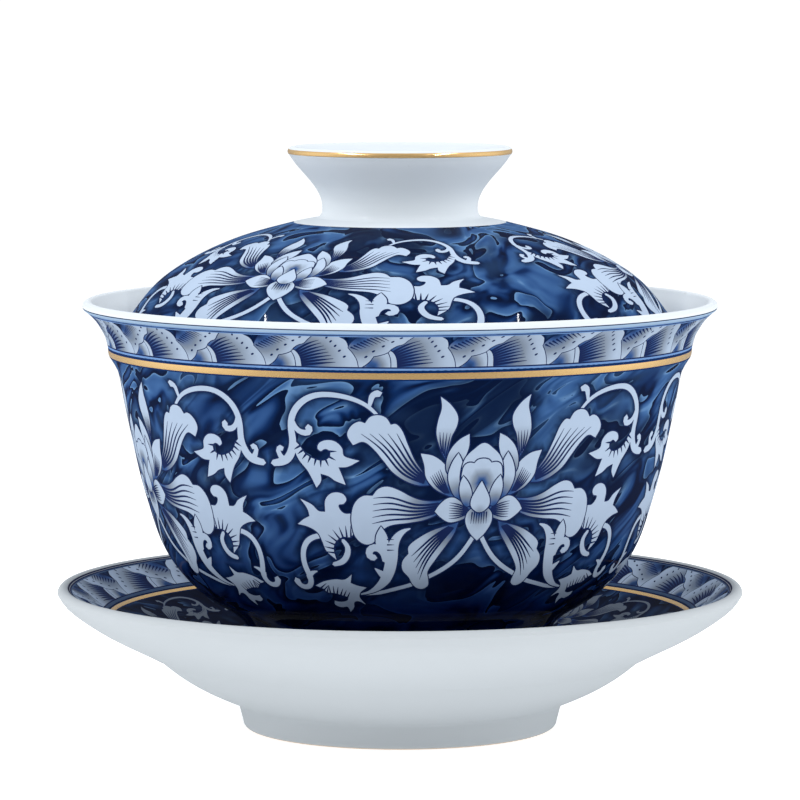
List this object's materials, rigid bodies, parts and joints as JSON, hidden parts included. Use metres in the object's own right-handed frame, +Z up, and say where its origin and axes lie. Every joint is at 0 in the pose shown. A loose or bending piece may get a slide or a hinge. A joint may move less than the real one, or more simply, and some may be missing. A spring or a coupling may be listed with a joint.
{
  "type": "gaiwan",
  "caption": "Covered porcelain tea bowl: flared bowl with printed wall and gilt band, domed lid with flared hollow knob, on a footed saucer with a well.",
  "frame": {"origin": "centre of the saucer's foot ring, on the surface it stands on", "axes": "+Z up along the axis that all three pieces are turned about; X and Y are equal, and a painted flower of the bowl is centred near -Y"},
  "size_m": [0.1106, 0.1106, 0.0938],
  "materials": {
    "white_glaze": "cool white porcelain under a clear gloss glaze",
    "cobalt_transfer": "underglaze cobalt print, gloss",
    "gilt": "burnished overglaze gold, stood in for by brass"
  },
  "bodies": {
    "saucer_body": {"saucer": "white_glaze", "saucer_border_transfer": "cobalt_transfer", "saucer_well_transfer": "cobalt_transfer", "saucer_gilt_ring": "gilt"},
    "bowl_body": {"bowl": "white_glaze", "bowl_wall_transfer": "cobalt_transfer", "bowl_collar_transfer": "cobalt_transfer", "bowl_gilt_band": "gilt"},
    "lid_body": {"lid": "white_glaze", "lid_transfer": "cobalt_transfer", "lid_knob": "white_glaze", "knob_gilt_rim": "gilt"}
  },
  "joints": [
    {"name": "bowl_lift", "type": "slide", "parent": "saucer_body", "child": "bowl_body", "axis": [0, 0, 1], "range_m": [0, 0.06]},
    {"name": "lid_lift", "type": "slide", "parent": "bowl_body", "child": "lid_body", "axis": [0, 0, 1], "range_m": [0, 0.05]}
  ]
}
